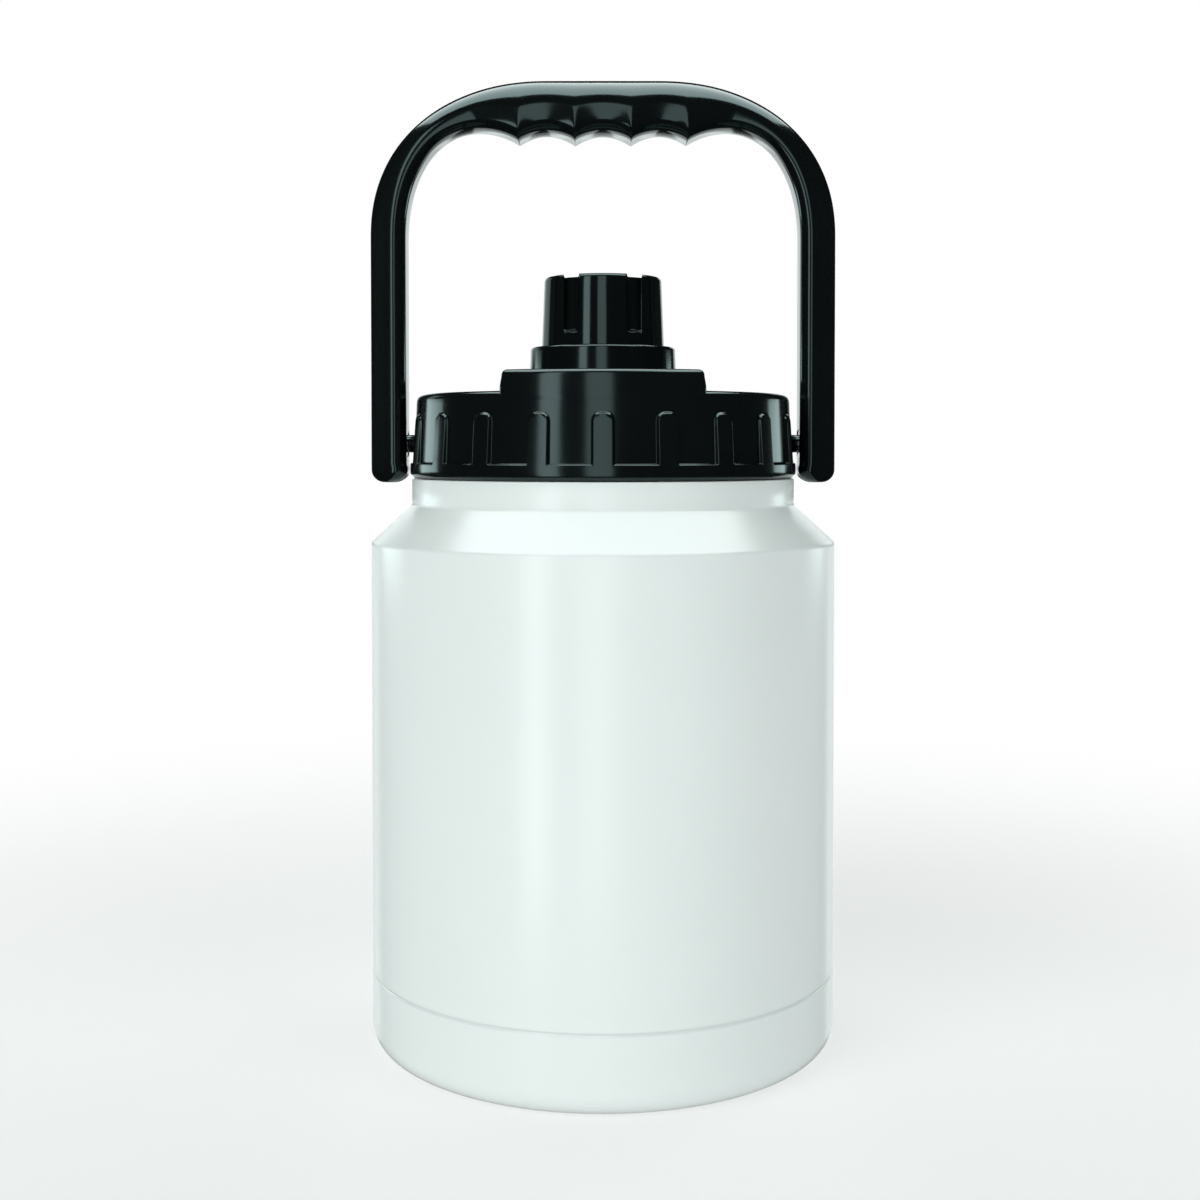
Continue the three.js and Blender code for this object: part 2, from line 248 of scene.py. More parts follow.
plasticLook = dict(
    colour=(0.0024, 0.0034, 0.0034, 1), shade=(0.0036, 0.0048, 0.0048, 1),
    cloud=dict(scale=30.0, detail=3.0),
    grain=dict(scale=1500.0, detail=3.0, roughness=0.6), grainDepth=0.0000015,
    sink=dict(scale=45.0, detail=1.0), sinkDepth=0.00003,    # the slow waves that a moulding's skin has
    wear=dict(scale=420.0, detail=5.0, roughness=0.75),
    wearStops=((0.60, 0.0), (0.74, 1.0)), wearShare=0.05,
    roughness=0.105, roughnessSpread=0.05, ior=1.5, tint=(0.76, 1.0, 1.02, 1),
)
handleLook = dict(plasticLook, roughness=0.1, sink=dict(scale=38.0, detail=1.0))
capLook = dict(plasticLook, roughness=0.07, sink=dict(scale=60.0, detail=1.0), sinkDepth=0.00001)

whiteCoat = makeCoat(coatLook)
lidPlastic = makePlastic("lidPlastic", plasticLook)
capPlastic = makePlastic("capPlastic", capLook)
handlePlastic = makePlastic("handlePlastic", handleLook)
print("materials made")


# the white body

bodySize = dict(
    radius=82.5, baseFillet=8.3, filletSteps=24,
    recessRadius=58.0, recessSlope=2.6, recessDepth=2.0, recessSteps=8, recessLip=1.0,
    seamHeight=27.4, seamHalfWidth=0.8, seamDepth=0.24, seamPower=1.5, seamSteps=16,
    shoulderLow=178.0, shoulderTop=191.3, shoulderRounding=1.8, roundingSteps=10,
    neckRadius=68.2, neckFillet=1.6, neckTop=200.6, neckEdge=0.4, neckLip=1.5,
    hold=0.6,                                                # the flat strip kept beside a rounding
    columns=288,
)


def bodyProfile(s):
    depth = s["recessDepth"]
    hold = s["hold"]
    points = [(s["recessRadius"] - s["recessSlope"] - s["recessLip"], depth)]
    for share in np.linspace(0, 1, s["recessSteps"] + 1):    # the recess slopes down to the standing ring
        radius = s["recessRadius"] - s["recessSlope"] * (1 - share)
        points.append((radius, depth * (1 - float(smoothStep(share)))))
    points.append((s["recessRadius"] + s["recessLip"], 0.0))
    fillet = s["baseFillet"]
    points.append((s["radius"] - fillet - hold, 0.0))
    points += arcPoints(s["radius"] - fillet, fillet, fillet, -90, 0, s["filletSteps"])
    points.append((s["radius"], fillet + hold))
    for offset in np.linspace(-1, 1, s["seamSteps"] + 1):
        dip = s["seamDepth"] * (0.5 + 0.5 * math.cos(math.pi * offset)) ** s["seamPower"]
        points.append((s["radius"] - dip, s["seamHeight"] + offset * s["seamHalfWidth"]))
    slope = math.atan2(s["shoulderTop"] - s["shoulderLow"], s["radius"] - s["neckRadius"])
    turn = math.pi / 2 - slope
    bend = math.degrees(turn)
    edge = s["shoulderRounding"]
    low = s["shoulderLow"] - edge * math.tan(turn / 2)
    points.append((s["radius"], low - hold))
    points += arcPoints(s["radius"] - edge, low, edge, 0, bend, s["roundingSteps"])
    inner = s["neckFillet"]
    rise = s["shoulderTop"] + inner * math.tan(turn / 2)
    points += arcPoints(s["neckRadius"] + inner, rise, inner, 180 + bend, 180, s["roundingSteps"])
    points.append((s["neckRadius"], rise + hold))
    points.append((s["neckRadius"], s["neckTop"] - s["neckEdge"]))
    points.append((s["neckRadius"] - s["neckEdge"], s["neckTop"]))
    points.append((s["neckRadius"] - s["neckLip"], s["neckTop"]))
    return points


body = lathe("jugBody", bodyProfile(bodySize), bodySize["columns"])
dress(body, "jug", "white_coat", whiteCoat, "body")
print("body made")


# the screw lid: one round form whose wall swells into the grip ribs

lidSize = dict(
    foot=((65.8, 200.9), (67.4, 200.9), (67.8, 201.05), (68.68, 202.1), (68.8, 202.45), (68.8, 204.2)),
    flangeRadius=68.8, flangeTop=206.2, flangeRounding=0.6, flangeSteps=6,
    ledgeFillet=0.45, ledgeSteps=5, wallFoot=67.4, wallTop=66.4,
    top=230.2, rimRounding=2.2, rimSteps=12, hold=0.6,
    ribPlaces=20, ribTop=223.35, ribHalfWidth=3.9, ribSlope=0.9, ribCorner=3.3, ribRiseTop=1.0,
    plainTop=219.0, plainRows=5,                             # rows are close together only where a rib ends
    endRows=(219.3, 222.2, 0.25), tipRows=(222.3, 223.9, 0.12), upperRows=(224.4, 225.2, 226.5),
    flatColumns=(0.9, 1.8), slopeColumns=(2.6, 4.2, 0.13), gapColumns=(5.2, 6.8, 8.6),
    offRib=99.0,                                             # far from any rib
)


def wallRadius(height, s):                                   # the wall leans in a little towards the top
    share = (height - s["flangeTop"]) / (s["top"] - s["flangeTop"])
    return mix(s["wallFoot"], s["wallTop"], share)


def lidRows(s):                                              # pairs of points: between the ribs, and on a rib
    flange = s["flangeRadius"]
    ledge = s["flangeTop"]
    rounding = s["flangeRounding"]
    fillet = s["ledgeFillet"]
    rows = [(point, point) for point in s["foot"]]
    edge = arcPoints(flange - rounding, ledge - rounding, rounding, 0, 90, s["flangeSteps"])
    corner = arcPoints(s["wallFoot"] + fillet, ledge + fillet, fillet, 270, 180, s["ledgeSteps"])
    shelf = edge + corner
    for i, point in enumerate(shelf):                        # a rib has no ledge, so its rows go on up
        height = mix(ledge - rounding, ledge + fillet, i / (len(shelf) - 1))
        rows.append((point, (flange, height)))
    rimFoot = s["top"] - s["rimRounding"]
    plain = np.linspace(ledge + fillet + s["hold"], s["plainTop"], s["plainRows"])
    heights = [plain, np.arange(*s["endRows"]), np.arange(*s["tipRows"]), s["upperRows"], [rimFoot]]
    for z in np.concatenate(heights):
        share = (z - ledge) / (s["ribTop"] - ledge)
        wall = wallRadius(z, s)
        rise = mix(flange - s["wallFoot"], s["ribRiseTop"], share)
        rows.append(((wall, z), (wall + rise, z)))
    rimCentre = wallRadius(rimFoot, s) - s["rimRounding"]
    rim = arcPoints(rimCentre, rimFoot, s["rimRounding"], 0, 90, s["rimSteps"])[1:]
    inside = rim[-1][0] - s["hold"]
    for point in rim + [(inside, s["top"])]:
        rows.append((point, point))
    return rows


def ribShare(offset, height, s):                             # 0 off the rib, 1 on its flat
    r = s["ribCorner"]
    x = np.abs(offset) - (s["ribHalfWidth"] - r)
    z = height - (s["ribTop"] - r)
    outside = np.hypot(np.maximum(x, 0), np.maximum(z, 0)) + np.minimum(np.maximum(x, z), 0) - r
    return smoothStep(-outside / s["ribSlope"])


def lidColumns(s):                                           # angles round the lid, with their way off a rib
    pitch = 2 * math.pi / s["ribPlaces"]
    half = pitch * s["wallFoot"] / 2
    right = np.concatenate([s["flatColumns"], np.arange(*s["slopeColumns"]), s["gapColumns"]])
    across = np.concatenate([-right[::-1], [0.0], right, [half]])
    columns = []
    for place in range(s["ribPlaces"]):
        middle = place * pitch
        bare = place % (s["ribPlaces"] // 2) == 0            # the two places that face the pivots
        for offset in across:
            columns.append((middle + offset / s["wallFoot"], s["offRib"] if bare else offset))
    return columns


def makeLid(s):
    columns = lidColumns(s)
    angle = np.array([c[0] for c in columns])
    offset = np.array([c[1] for c in columns])
    rings = []
    for (gapR, gapZ), (ribR, ribZ) in lidRows(s):
        share = ribShare(offset, ribZ, s)
        r = mix(gapR, ribR, share)
        z = mix(gapZ, ribZ, share)
        rings.append(np.stack([r * np.cos(angle), r * np.sin(angle), z], axis=1))
    return ringMesh("screwLid", rings)


lid = makeLid(lidSize)
dress(lid, "jug", "lid_plastic", lidPlastic, "lid")
print("lid made")


# the raised bar: stacked outlines, each two straight sides, four small corners and two arcs of the wall

barSize = dict(
    top=237.1, halfTop=33.1, halfFoot=33.7, draft=0.05, rounding=1.9, corner=2.0, cornerLeast=0.3, proud=0.02,
    footFillet=1.4, flareStart=7.0, flareRun=5.0,            # the fillet fades out before the bar's corners
    start=226.4, startInset=0.4, skirt=227.2, sunk=0.02,     # it begins inside the lid
    wallEdge=0.5, hold=0.6, filletSteps=8, roundingSteps=10,
    sidePoints=28, cornerPoints=8, endPoints=40,
)


def barQuarter(half, radius, corner, flare, s):              # x and y positive, from the side to the end
    centreX = half - corner
    centreY = math.sqrt((radius - corner) ** 2 - centreX ** 2)
    stop = math.atan2(centreY, centreX)
    points = []
    for y in np.linspace(0, centreY, s["sidePoints"], endpoint=False):
        faded = float(smoothStep((y - centreY + s["flareStart"]) / s["flareRun"]))
        points.append((half + flare * (1 - faded), y))
    for a in np.linspace(0, stop, s["cornerPoints"], endpoint=False):
        points.append((centreX + corner * math.cos(a), centreY + corner * math.sin(a)))
    for a in np.linspace(stop, math.pi / 2, s["endPoints"], endpoint=False):
        points.append((radius * math.cos(a), radius * math.sin(a)))
    points.append((0.0, radius))
    return points


def barRing(height, half, inset, flare, s):
    radius = wallRadius(min(height, s["top"] - s["rounding"]), lidSize) + s["proud"] - inset
    quarter = barQuarter(half - inset, radius, max(s["corner"] - inset, s["cornerLeast"]), flare, s)
    left = [(-x, y) for x, y in reversed(quarter[:-1])]
    upper = quarter + left
    lower = [(-x, -y) for x, y in upper[1:-1]]
    return [(x, y, height) for x, y in upper + lower]


def makeBar(s):
    foot = lidSize["top"]
    fillet = s["footFillet"]
    rings = [barRing(s["start"], s["halfFoot"], s["startInset"], fillet, s)]
    for height in (s["skirt"], foot - s["sunk"]):
        rings.append(barRing(height, s["halfFoot"], 0, fillet, s))
    for x, z in arcPoints(fillet, fillet, fillet, 270, 180, s["filletSteps"]):
        rings.append(barRing(foot + z, s["halfFoot"], 0, x, s))
    edge = s["top"] - s["rounding"]
    rings.append(barRing(edge - s["wallEdge"], s["halfTop"] + s["draft"], 0, 0, s))
    for x, z in arcPoints(0, 0, s["rounding"], 0, 90, s["roundingSteps"]):
        rings.append(barRing(edge + z, s["halfTop"], s["rounding"] - x, 0, s))
    rings.append(barRing(s["top"], s["halfTop"], s["rounding"] + s["hold"], 0, s))
    return ringMesh("lidBar", rings)


bar = makeBar(barSize)
dress(bar, "jug", "lid_plastic", lidPlastic, "lid")
print("bar made")


# stub pins on the lid, one for each leg of the handle

pinSize = dict(radius=3.15, height=212.9, root=64.0, end=75.2, chamfer=0.4, columns=64)


def makePin(side, s):
    tip = s["radius"] - s["chamfer"]
    profile = [(s["radius"], s["root"]), (s["radius"], s["end"] - s["chamfer"]), (tip, s["end"])]
    rings = [pivotRing(side, x, radius, s["height"], s["columns"]) for radius, x in profile]
    return ringMesh("pivotPinRight" if side > 0 else "pivotPinLeft", rings)


for side in (1, -1):
    dress(makePin(side, pinSize), "jug", "lid_plastic", lidPlastic, "lid")
print("pins made")


# the collar that the cap stands on

collarSize = dict(
    foot=237.05, footRadius=26.3, footLip=1.5, footBand=0.5,
    topRadius=26.0, top=247.2, rounding=1.1, roundingSteps=10, hold=0.6, columns=192,
)


def collarProfile(s):
    edge = s["top"] - s["rounding"]
    points = [(s["footRadius"] - s["footLip"], s["foot"]), (s["footRadius"], s["foot"])]
    points.append((s["footRadius"], s["foot"] + s["footBand"]))
    points.append((s["topRadius"], edge - s["hold"]))
    points += arcPoints(s["topRadius"] - s["rounding"], edge, s["rounding"], 0, 90, s["roundingSteps"])
    points.append((s["topRadius"] - s["rounding"] - s["hold"], s["top"]))
    return points


collar = lathe("capCollar", collarProfile(collarSize), collarSize["columns"])
dress(collar, "jug", "lid_plastic", lidPlastic, "cap_collar")
print("collar made")


# the drinking cap: a turned form with four flutes cut into it, mirrored about X and Y

capSize = dict(
    foot=247.15, footRadius=22.0, footEdge=0.35, footLip=1.5,
    topRadius=21.0, top=272.1, rounding=1.5, roundingSteps=10,
    wallLow=1.2, wallHigh=0.4, wallRows=5,
    dishRadius=19.45, dishEdge=0.1, dishFloor=19.1, dishDepth=1.3, dishFillet=0.3, dishCorner=1.2,
    fluteFoot=251.4, fluteRise=1.5, fluteRows=10, depthFoot=1.3, depthTop=2.05,
    rampStart=20.5, rampEnd=27.5, rampSteps=8,               # the ramp in degrees from the Y axis
    floorSteps=8, wallX=13.7, wallCorner=0.35, cornerAngles=(22.5, 45, 67.5, 90),
    outside=0.04, reach=1.5, reachPoints=6, above=1.0,       # how far the cutting tool stands out of the cap
    columns=256, edgeAngle=38.0,
)


def capRadius(height, s):
    share = (height - s["foot"]) / (s["top"] - s["foot"])
    return mix(s["footRadius"], s["topRadius"], share)


def capProfile(s):
    points = [(s["footRadius"] - s["footLip"], s["foot"]), (s["footRadius"] - s["footEdge"], s["foot"])]
    points.append((s["footRadius"], s["foot"] + s["footEdge"]))
    edge = s["top"] - s["rounding"]
    for height in np.linspace(s["foot"] + s["wallLow"], edge - s["wallHigh"], s["wallRows"]):
        points.append((capRadius(height, s), height))
    points += arcPoints(capRadius(edge, s) - s["rounding"], edge, s["rounding"], 0, 90, s["roundingSteps"])
    points.append((s["dishRadius"] + s["dishEdge"], s["top"]))
    points.append((s["dishRadius"], s["top"] - s["dishEdge"]))
    low = s["top"] - s["dishDepth"]
    points.append((s["dishFloor"], low + s["dishFillet"]))
    points.append((s["dishFloor"] - s["dishFillet"], low))
    points.append((s["dishFloor"] - s["dishCorner"], low))
    return points


def fluteDepth(height, s):
    opening = float(smoothStep((height - s["fluteFoot"]) / s["fluteRise"]))
    share = max(0.0, height - s["fluteFoot"]) / (s["top"] - s["fluteFoot"])
    return opening * (mix(s["depthFoot"], s["depthTop"], share) + s["outside"]) - s["outside"]


def fluteOutline(height, s):                                 # down the ramp, to the wall, back outside
    outer = capRadius(height, s)
    floor = outer - fluteDepth(height, s)
    outline = []
    for share in np.linspace(0, 1, s["rampSteps"] + 1):
        a = math.radians(mix(s["rampStart"], s["rampEnd"], share))
        r = mix(outer + s["outside"], floor, float(smoothStep(share)))
        outline.append((r * math.sin(a), r * math.cos(a)))
    corner = s["wallCorner"]
    start = math.radians(s["rampEnd"])
    stop = math.asin((s["wallX"] - corner) / floor)
    for a in np.linspace(start, stop, s["floorSteps"] + 1)[1:]:
        outline.append((floor * math.sin(a), floor * math.cos(a)))
    foot = math.sqrt(floor ** 2 - (s["wallX"] - corner) ** 2)
    for a in np.radians(s["cornerAngles"]):
        outline.append((s["wallX"] - corner * (1 - math.sin(a)), foot + corner * (1 - math.cos(a))))
    far = outer + s["reach"]
    wide = math.asin(s["wallX"] / far)
    for a in np.linspace(wide, math.radians(s["rampStart"]), s["reachPoints"]):
        outline.append((far * math.sin(a), far * math.cos(a)))
    return outline


def cutFlutes(piece, s):
    rise = s["fluteFoot"] + s["fluteRise"]
    heights = list(np.linspace(s["fluteFoot"], rise, s["fluteRows"]))
    heights += [mix(rise, s["top"], 0.5), s["top"] + s["above"]]
    outlines = [(fluteOutline(height, s), height) for height in heights]
    for signX in (1, -1):
        for signY in (1, -1):
            rings = []
            for outline, height in outlines:
                ring = [(signX * x, signY * y, height) for x, y in outline]
                rings.append(ring[::signX * signY])          # a mirrored outline is read backwards
            carve(piece, ringMesh("fluteTool", rings))
    piece.data.set_sharp_from_angle(angle=math.radians(s["edgeAngle"]))


cap = lathe("drinkingCap", capProfile(capSize), capSize["columns"])
cutFlutes(cap, capSize)
dress(cap, "jug", "cap_plastic", capPlastic, "cap")
print("cap made")


# the carrying handle: sections set between an inner and an outer curve of its front view

handleSize = dict(
    legOuter=82.8, legInner=70.1, toeInner=69.7, toeTop=204.0, toeStep=2.0,
    legEnd=199.1, endRounding=4.6, endSteps=12,
    toeRows=(204.3, 204.7, 205.1, 205.5, 206.0, 208.0), legRows=(212.0, 280.0, 12),
    outerBend=286.2, outerCentre=20.0, top=342.2, outerEnd=0.72,
    innerBend=285.0, archCentre=44.0, archTop=324.4,
    power=2.17, bendLimit=0.9999, bendRows=56,
    pitch=20.0, crest=323.5, cusp=320.3, cuspRounding=0.3, archSteps=20, hollowSteps=24,
    legDepth=8.5, legCorner=4.2, legFlank=17.0, legEdge=1.0,
    cornerLimit=0.95, bulge=0.11, bulgeRun=3.0, edgeTuck=0.999,         # the flank bulges beside the corner
    gripDepth=12.5, barrelRadius=405.0, gripCorner=0.38, gripCornerDepth=8.5, cornerPower=3.2,
    cornerSteps=12, flankSteps=8, edgeSteps=6, roundSteps=15,
    pinch=0.7, archPinch=0.6, ridgeWidth=0.8,                # how far each hollow draws in between its ridges
    boreRadius=3.4, boreStart=66.7, boreEnd=75.9, boreColumns=64,
)


def onBend(centre, foot, halfWidth, rise, share, s):
    a = min(share, s["bendLimit"]) * math.pi / 2
    return np.array([centre + halfWidth * math.cos(a) ** (2 / s["power"]),
                     foot + rise * math.sin(a) ** (2 / s["power"])])


def outerPoint(share, s):
    return onBend(s["outerCentre"], s["outerBend"], s["legOuter"] - s["outerCentre"],
                  s["top"] - s["outerBend"], share, s)


def innerPoint(share, s):
    return onBend(s["archCentre"], s["innerBend"], s["legInner"] - s["archCentre"],
                  s["archTop"] - s["innerBend"], share, s)


def outerHeight(x, s):
    share = max(0.0, x - s["outerCentre"]) / (s["legOuter"] - s["outerCentre"])
    rise = s["top"] - s["outerBend"]
    return s["outerBend"] + rise * (1 - share ** s["power"]) ** (1 / s["power"])


def undersideHeight(x, s):
    last = 1.5 * s["pitch"]
    inArch = x > last
    centre = s["archCentre"] if inArch else round(x / s["pitch"]) * s["pitch"]
    half = s["archCentre"] - last if inArch else s["pitch"] / 2
    crest = s["archTop"] if inArch else s["crest"]
    sag = crest - s["cusp"]
    radius = (half ** 2 + sag ** 2) / (2 * sag)
    fromCusp = half - min(abs(x - centre), half)             # the cusp's tip is a little round
    soft = math.sqrt(fromCusp ** 2 + s["cuspRounding"] ** 2) - s["cuspRounding"]
    return crest - radius + math.sqrt(radius ** 2 - (half - soft) ** 2)


def legSection(thickness, depth, s):                         # a round corner, a leaning flank, a small edge
    corner = min(s["legCorner"], thickness / 2)
    cornerDepth = min(corner, depth * s["cornerLimit"])
    flank = thickness - corner
    edgeDepth = max(depth - flank * math.tan(math.radians(s["legFlank"])), depth / 2)
    r = min(s["legEdge"], edgeDepth / 2, flank / 2)
    points = []
    for x, y in arcPoints(0, 0, 1, 180, 90, s["cornerSteps"]):
        points.append((corner * (1 + x), depth - cornerDepth * (1 - y)))
    slope = math.atan2(depth - edgeDepth, flank)
    for share in np.linspace(0, 1 - r / flank, s["flankSteps"] + 1)[1:]:
        ease = min(1.0, share * s["bulgeRun"])
        bend = (depth - edgeDepth) * (share - s["bulge"] * ease * (1 - ease))
        points.append((corner + flank * share, depth - bend))
    lastX, lastY = points[-1]
    for a in np.linspace(0, math.pi / 2 - slope, s["edgeSteps"] + 1)[1:]:
        points.append((lastX + r * (math.sin(a + slope) - math.sin(slope)) * s["edgeTuck"],
                       lastY - r * (math.cos(slope) - math.cos(a + slope))))
    return np.array(points)


def gripSection(thickness, depth, s):                        # nearly straight down in front, then round
    low = thickness * s["gripCorner"]
    fuller = 2 / s["cornerPower"]
    points = []
    for x, y in arcPoints(0, 0, 1, 180, 90, s["cornerSteps"]):
        points.append((low * (1 - abs(x) ** fuller), depth - s["gripCornerDepth"] * (1 - abs(y) ** fuller)))
    for x, y in arcPoints(0, 0, 1, 90, 0, s["roundSteps"])[1:-1]:
        points.append((low + (thickness - low) * x, depth * y))
    return np.array(points)


def handleRing(station, s):
    inner, outer, depth, grip = station
    across = outer - inner
    thickness = float(np.hypot(*across))
    out = across / thickness
    near = mix(legSection(thickness, depth, s), gripSection(thickness, depth, s), grip)
    ring = [(x, y) for x, y in near] + [(thickness, 0.0)] + [(x, -y) for x, y in near[::-1]]
    return [(inner[0] + out[0] * x, y, inner[1] + out[1] * x) for x, y in ring]


def legStations(s):                                          # the rounded end, then the toe, then the leg
    stations = []
    for a in np.radians(np.linspace(0, 90, s["endSteps"] + 1)):
        inset = s["endRounding"] * (1 - math.sin(a))
        height = s["legEnd"] + s["endRounding"] * (1 - math.cos(a))
        stations.append((np.array([s["toeInner"] + inset, height]), np.array([s["legOuter"] - inset, height]),
                         s["legDepth"] - inset, 0.0))
    for height in list(s["toeRows"]) + list(np.linspace(*s["legRows"])):
        step = float(smoothStep((height - s["toeTop"]) / s["toeStep"]))
        stations.append((np.array([mix(s["toeInner"], s["legInner"], step), height]),
                         np.array([s["legOuter"], height]), s["legDepth"], 0.0))
    return stations


def hollowDip(x, s):                                         # 0 on a ridge, 1 in the middle of a hollow
    half = s["pitch"] / 2
    last = 3 * half
    inArch = x > last
    reach = s["archCentre"] - last if inArch else half
    fromRidge = min(x - last if inArch else abs(x % s["pitch"] - half), reach)
    soft = math.hypot(fromRidge, s["ridgeWidth"]) - s["ridgeWidth"]
    full = math.hypot(reach, s["ridgeWidth"]) - s["ridgeWidth"]
    return (1 - (1 - soft / full) ** 2) * (s["archPinch"] if inArch else 1.0)


def gripDepth(x, s):                                         # fullest in the middle, drawn in at each hollow
    return s["gripDepth"] - x ** 2 / (2 * s["barrelRadius"]) - s["pinch"] * hollowDip(x, s)


def bendStations(s):
    stations = []
    for share in np.linspace(0, 1, s["bendRows"]):
        grip = float(smoothStep(share))
        stations.append((innerPoint(share, s), outerPoint(share * s["outerEnd"], s),
                         mix(s["legDepth"], gripDepth(s["archCentre"], s), grip), grip))
    return stations


def gripStations(s):                                         # from the arch to the middle of the grip
    last = 1.5 * s["pitch"]
    outerStart = outerPoint(s["outerEnd"], s)[0]
    places = []
    for share in np.sin(np.linspace(0, math.pi / 2, s["archSteps"] + 1))[1:]:
        places.append((mix(s["archCentre"], last, share), mix(outerStart, last, share)))
    steps = s["hollowSteps"]
    ease = 0.5 - 0.5 * np.cos(np.linspace(0, math.pi, steps + 1))    # closer together towards the cusps
    for share in list(ease[1:]) + [1 + e for e in ease[1:steps // 2 + 1]]:
        x = last - s["pitch"] * share
        places.append((x, x))
    stations = []
    for x, outerX in places:
        stations.append((np.array([x, undersideHeight(x, s)]), np.array([outerX, outerHeight(outerX, s)]),
                         gripDepth(x, s), 1.0))
    return stations


def boreHole(piece, side, s):                                # a blind hole for the pin
    rings = [pivotRing(side, x, s["boreRadius"], pinSize["height"], s["boreColumns"])
             for x in (s["boreStart"], s["boreEnd"])]
    carve(piece, ringMesh("boreTool", rings))


def makeHandle(s):
    right = [handleRing(station, s) for station in legStations(s) + bendStations(s) + gripStations(s)]
    left = [[(-x, y, z) for x, y, z in ring] for ring in right[:-1]]
    piece = ringMesh("carryHandle", left + right[::-1])
    for side in (1, -1):
        boreHole(piece, side, s)
    return piece


handle = makeHandle(handleSize)
dress(handle, "handle", "handle_plastic", handlePlastic, "handle")
print("handle made")


# a pale floor that fades to plain white between near and far

stageLook = dict(radius=0.8, columns=96, colour=(0.93, 0.94, 0.94, 1), near=0.12, far=0.70, least=0.5)


def makeFloor(look):
    rim = [(look["radius"] * math.cos(a), look["radius"] * math.sin(a), 0) for a in fullTurn(look["columns"])]
    mesh = bpy.data.meshes.new("floor")
    mesh.from_pydata(rim, [], [tuple(range(len(rim)))])
    floor = bpy.data.objects.new("floor", mesh)
    bpy.context.collection.objects.link(floor)
    finish = Finish(bpy.data.materials.new("paleFloor"))
    reach = finish.node("ShaderNodeVectorMath", {"operation": "LENGTH"}, {0: finish.spot()}, output="Value")
    limits = {"Value": reach, "From Min": look["near"], "From Max": look["far"], "To Min": look["least"]}
    fade = finish.node("ShaderNodeMapRange", {"interpolation_type": "SMOOTHSTEP"}, limits)
    matt = finish.node("ShaderNodeBsdfDiffuse", {}, {"Color": look["colour"]})
    glow = finish.node("ShaderNodeEmission", {}, {"Color": (1, 1, 1, 1), "Strength": 1.0})
    both = finish.node("ShaderNodeMixShader", {}, {0: fade, 1: matt, 2: glow})
    finish.node("ShaderNodeOutputMaterial", {}, {"Surface": both})
    mesh.materials.append(finish.owner)
    floor.visible_glossy = False
    floor.visible_shadow = False


# area lights; headings run clockwise from the front, seen from above, and sizes are in metres

tint = (0.93, 1.0, 0.985)
sideTint = (0.80, 1.0, 0.985)                                # for glancing reflections, which lose the tint
aimHeight = 0.22
lightDistance = 1.5

mattLights = [                                               # these shade the surfaces and aren't reflected
    dict(name="keySoftbox", heading=-32.0, rise=22.0, distance=1.7, width=1.3, tall=1.5, level=2.93),
    dict(name="keyWing", heading=-50.0, rise=22.0, distance=1.7, width=1.0, tall=1.5, level=1.3),
    dict(name="fillRight", heading=50.0, rise=12.0, distance=1.7, width=1.0, tall=1.5, level=2.4),
    dict(name="limbLeft", heading=-152.0, rise=8.0, distance=1.7, width=1.2, tall=1.5, level=2.0),
    dict(name="wingLeft", heading=-125.0, rise=8.0, distance=1.7, width=1.0, tall=1.5, level=1.2),
    dict(name="limbRight", heading=150.0, rise=8.0, distance=1.7, width=1.2, tall=1.5, level=2.1),
    dict(name="wingRight", heading=125.0, rise=8.0, distance=1.7, width=1.0, tall=1.5, level=2.4),
    dict(name="fillTop", heading=0.0, rise=89.0, width=1.3, tall=1.3, level=0.5),
]
glossLights = [                                              # these are seen only as reflections
    dict(name="frontStrip", heading=-2.2, low=-0.36, high=1.2, width=0.41, level=1.5),
    dict(name="leftStrip", heading=-31.0, low=-0.36, high=1.2, width=0.32, level=2.8),
    dict(name="sideLeft", heading=-122.5, low=0.06, high=0.335, width=0.575, level=2.8, colour=sideTint),
    dict(name="sideLeftHigh", heading=-135.5, low=0.335, high=0.9, width=0.61, level=0.7, colour=sideTint),
    dict(name="sideRight", heading=125.5, low=0.06, high=0.335, width=0.42, level=2.6, colour=sideTint),
    dict(name="rimLeft", heading=-158.0, low=-0.6, high=0.15, width=0.97, level=0.75),
    dict(name="rimRight", heading=158.0, low=-0.6, high=0.15, width=0.97, level=0.75),
    dict(name="shoulderLeft", heading=-158.0, low=0.28, high=0.8, width=0.5, level=1.2),
    dict(name="shoulderRight", heading=158.0, low=0.28, high=0.8, width=0.5, level=1.2),
    dict(name="backdrop", heading=180.0, low=0.06, high=0.6, width=0.8, level=1.2),
    dict(name="overhead", heading=180.0, rise=85.0, distance=1.3, width=2.0, tall=1.55, level=5.2),
]


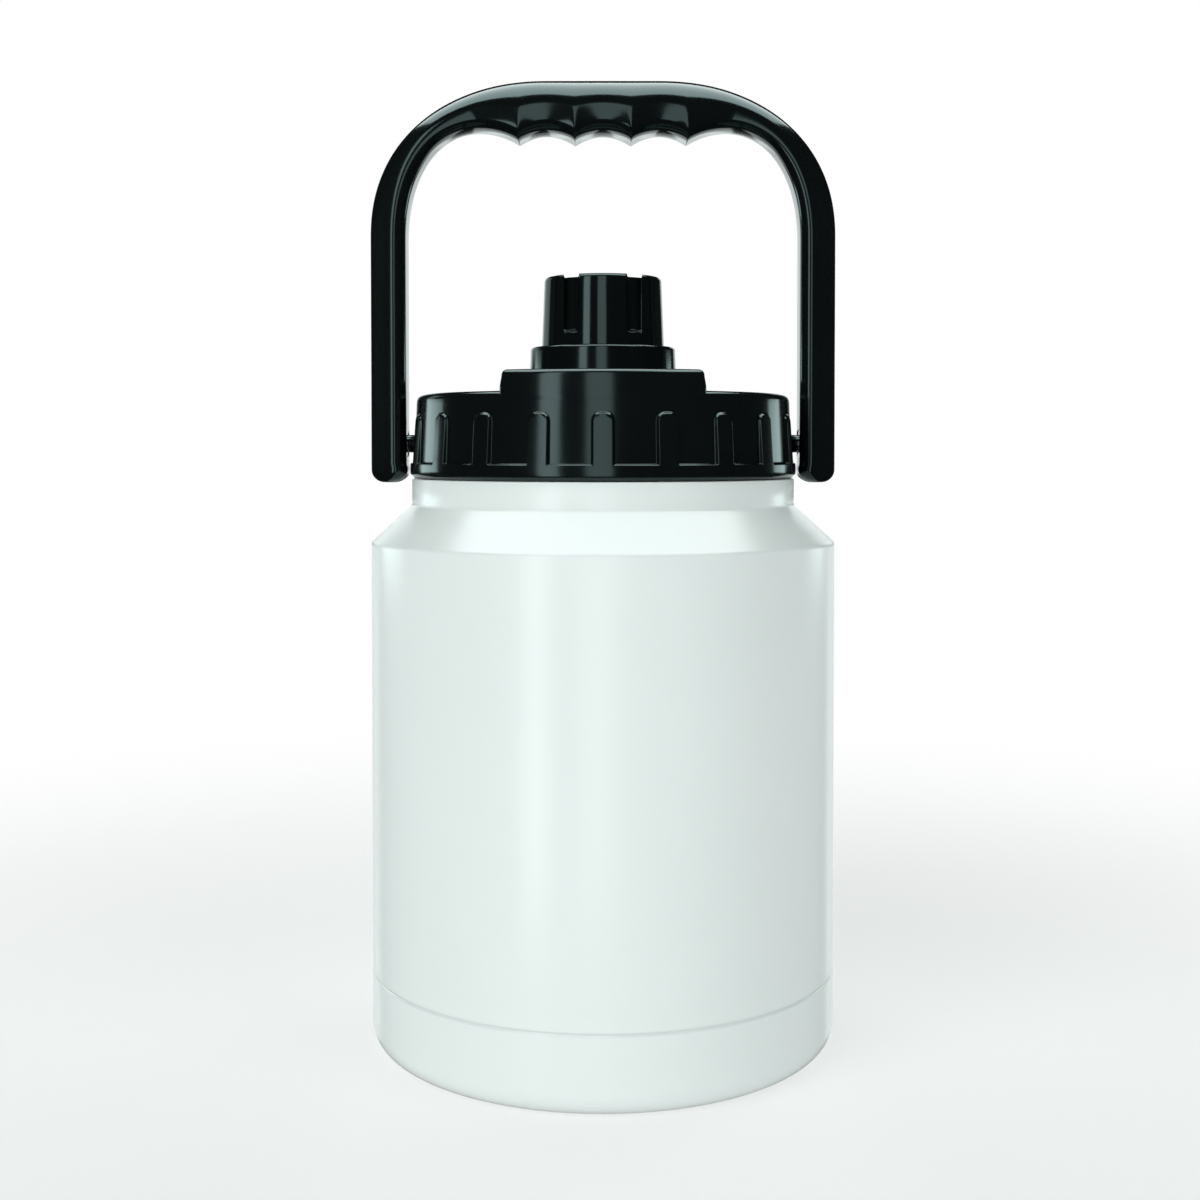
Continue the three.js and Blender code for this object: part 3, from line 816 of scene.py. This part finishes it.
def makeLight(s, gloss):                                     # between two heights, or aimed at the jug
    upright = "low" in s
    tall = s["high"] - s["low"] if upright else s["tall"]
    middle = (s["low"] + s["high"]) / 2 if upright else aimHeight
    lamp = bpy.data.lights.new(s["name"], "AREA")
    lamp.shape = "RECTANGLE"
    lamp.size = s["width"]
    lamp.size_y = tall
    lamp.energy = s["level"] * math.pi * s["width"] * tall   # so that level is the brightness in a mirror
    lamp.color = s.get("colour", tint)
    light = bpy.data.objects.new(s["name"], lamp)
    bpy.context.collection.objects.link(light)
    heading = math.radians(s["heading"])
    rise = math.radians(s.get("rise", 0.0))
    away = Vector((math.sin(heading) * math.cos(rise), -math.cos(heading) * math.cos(rise), math.sin(rise)))
    light.location = away * s.get("distance", lightDistance) + Vector((0, 0, middle))
    light.rotation_mode = "QUATERNION"
    light.rotation_quaternion = away.to_track_quat("Z", "Y")
    light.visible_camera = False
    light.visible_diffuse = not gloss
    light.visible_glossy = gloss


worldLook = dict(behind=1.0, around=0.02)                    # white for the camera, nearly dark for the jug


def makeWorld(look):
    world = bpy.data.worlds.new("studio")
    bpy.context.scene.world = world
    finish = Finish(world)
    seen = finish.node("ShaderNodeLightPath", output="Is Camera Ray")
    dark = finish.node("ShaderNodeBackground", {}, {"Color": (*tint, 1), "Strength": look["around"]})
    white = finish.node("ShaderNodeBackground", {}, {"Color": (1, 1, 1, 1), "Strength": look["behind"]})
    both = finish.node("ShaderNodeMixShader", {}, {0: seen, 1: dark, 2: white})
    finish.node("ShaderNodeOutputWorld", {}, {"Surface": both})


makeFloor(stageLook)
for light in mattLights:
    makeLight(light, gloss=False)
for light in glossLights:
    makeLight(light, gloss=True)
makeWorld(worldLook)
bpy.context.scene.view_settings.view_transform = "Standard"
print("stage and lights made")


# the camera stands level with the lid and looks a little down

viewSize = dict(
    distance=0.60444, height=0.21289, pitch=1.5623,
    lens=50.433, sensor=36.0, shiftX=-0.0025, shiftY=-0.092, nearest=0.01, farthest=50.0,
)


def makeCamera(s):
    data = bpy.data.cameras.new("camera")
    data.lens = s["lens"]
    data.sensor_width = s["sensor"]
    data.shift_x = s["shiftX"]
    data.shift_y = s["shiftY"]
    data.clip_start = s["nearest"]
    data.clip_end = s["farthest"]
    camera = bpy.data.objects.new("camera", data)
    bpy.context.collection.objects.link(camera)
    camera.location = (0, -s["distance"], s["height"])
    camera.rotation_euler = (math.radians(90 - s["pitch"]), 0, 0)
    bpy.context.scene.camera = camera


makeCamera(viewSize)
print("camera made")
